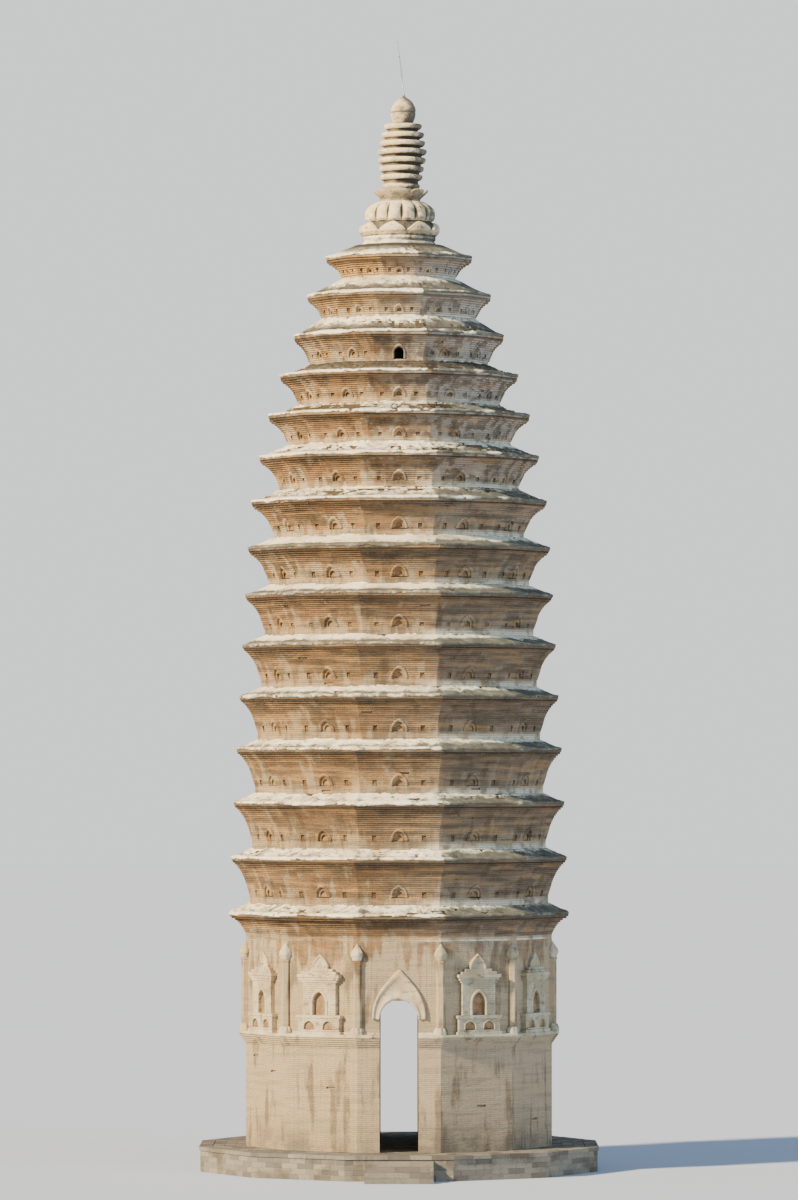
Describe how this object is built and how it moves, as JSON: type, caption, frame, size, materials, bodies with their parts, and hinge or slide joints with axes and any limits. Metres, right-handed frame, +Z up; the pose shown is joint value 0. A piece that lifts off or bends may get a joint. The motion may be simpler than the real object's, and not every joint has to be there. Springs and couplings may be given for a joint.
{
  "type": "pagoda",
  "caption": "Twelve-sided brick pagoda on a low platform: tall arched first storey, close-set corbelled eaves over a hollow shaft, and a lotus and ring finial with a lightning rod.",
  "frame": {"origin": "on the ground under the tower's axis, at the middle of the platform's underside", "axes": "+Z up along the tower, -Y out of the front doorway, +X to the right of someone facing the front"},
  "size_m": [13.687, 14.9173, 39.0928],
  "materials": {
    "brick": "weathered ochre brick with grey and reddish stains",
    "limed_brick": "brick under thin worn lime plaster",
    "lime": "cream lime plaster, stained and chipped",
    "paving": "grey paving brick and stone, rough",
    "steel": "dull galvanised"
  },
  "bodies": {
    "root": {"platform": "paving", "front_steps": "paving", "chamber_floor": "paving", "lower_wall_front_right": "limed_brick", "lower_wall_back_right": "limed_brick", "lower_wall_back_left": "limed_brick", "lower_wall_front_left": "limed_brick", "upper_wall_front_right": "limed_brick", "upper_wall_back_right": "limed_brick", "upper_wall_back_left": "limed_brick", "upper_wall_front_left": "limed_brick", "front_door_arch": "limed_brick", "right_door_arch": "limed_brick", "back_door_arch": "limed_brick", "left_door_arch": "limed_brick", "shrine_01": "lime", "shrine_02": "lime", "shrine_03": "lime", "shrine_04": "lime", "shrine_05": "lime", "shrine_06": "lime", "shrine_07": "lime", "shrine_08": "lime", "tier_01": "brick", "tier_02": "brick", "tier_03": "brick", "tier_04": "brick", "tier_05": "brick", "tier_06": "brick", "tier_07": "brick", "tier_08": "brick", "tier_09": "brick", "tier_10": "brick", "tier_11": "brick", "tier_12": "brick", "tier_13": "brick", "window_wall": "brick", "tier_14": "brick", "tier_15": "brick", "finial_plinth": "lime", "finial_lotus": "lime", "finial_drum": "lime", "finial_dish": "lime", "finial_rings": "lime", "finial_jewel": "lime", "lightning_rod": "steel"}
  },
  "joints": []
}
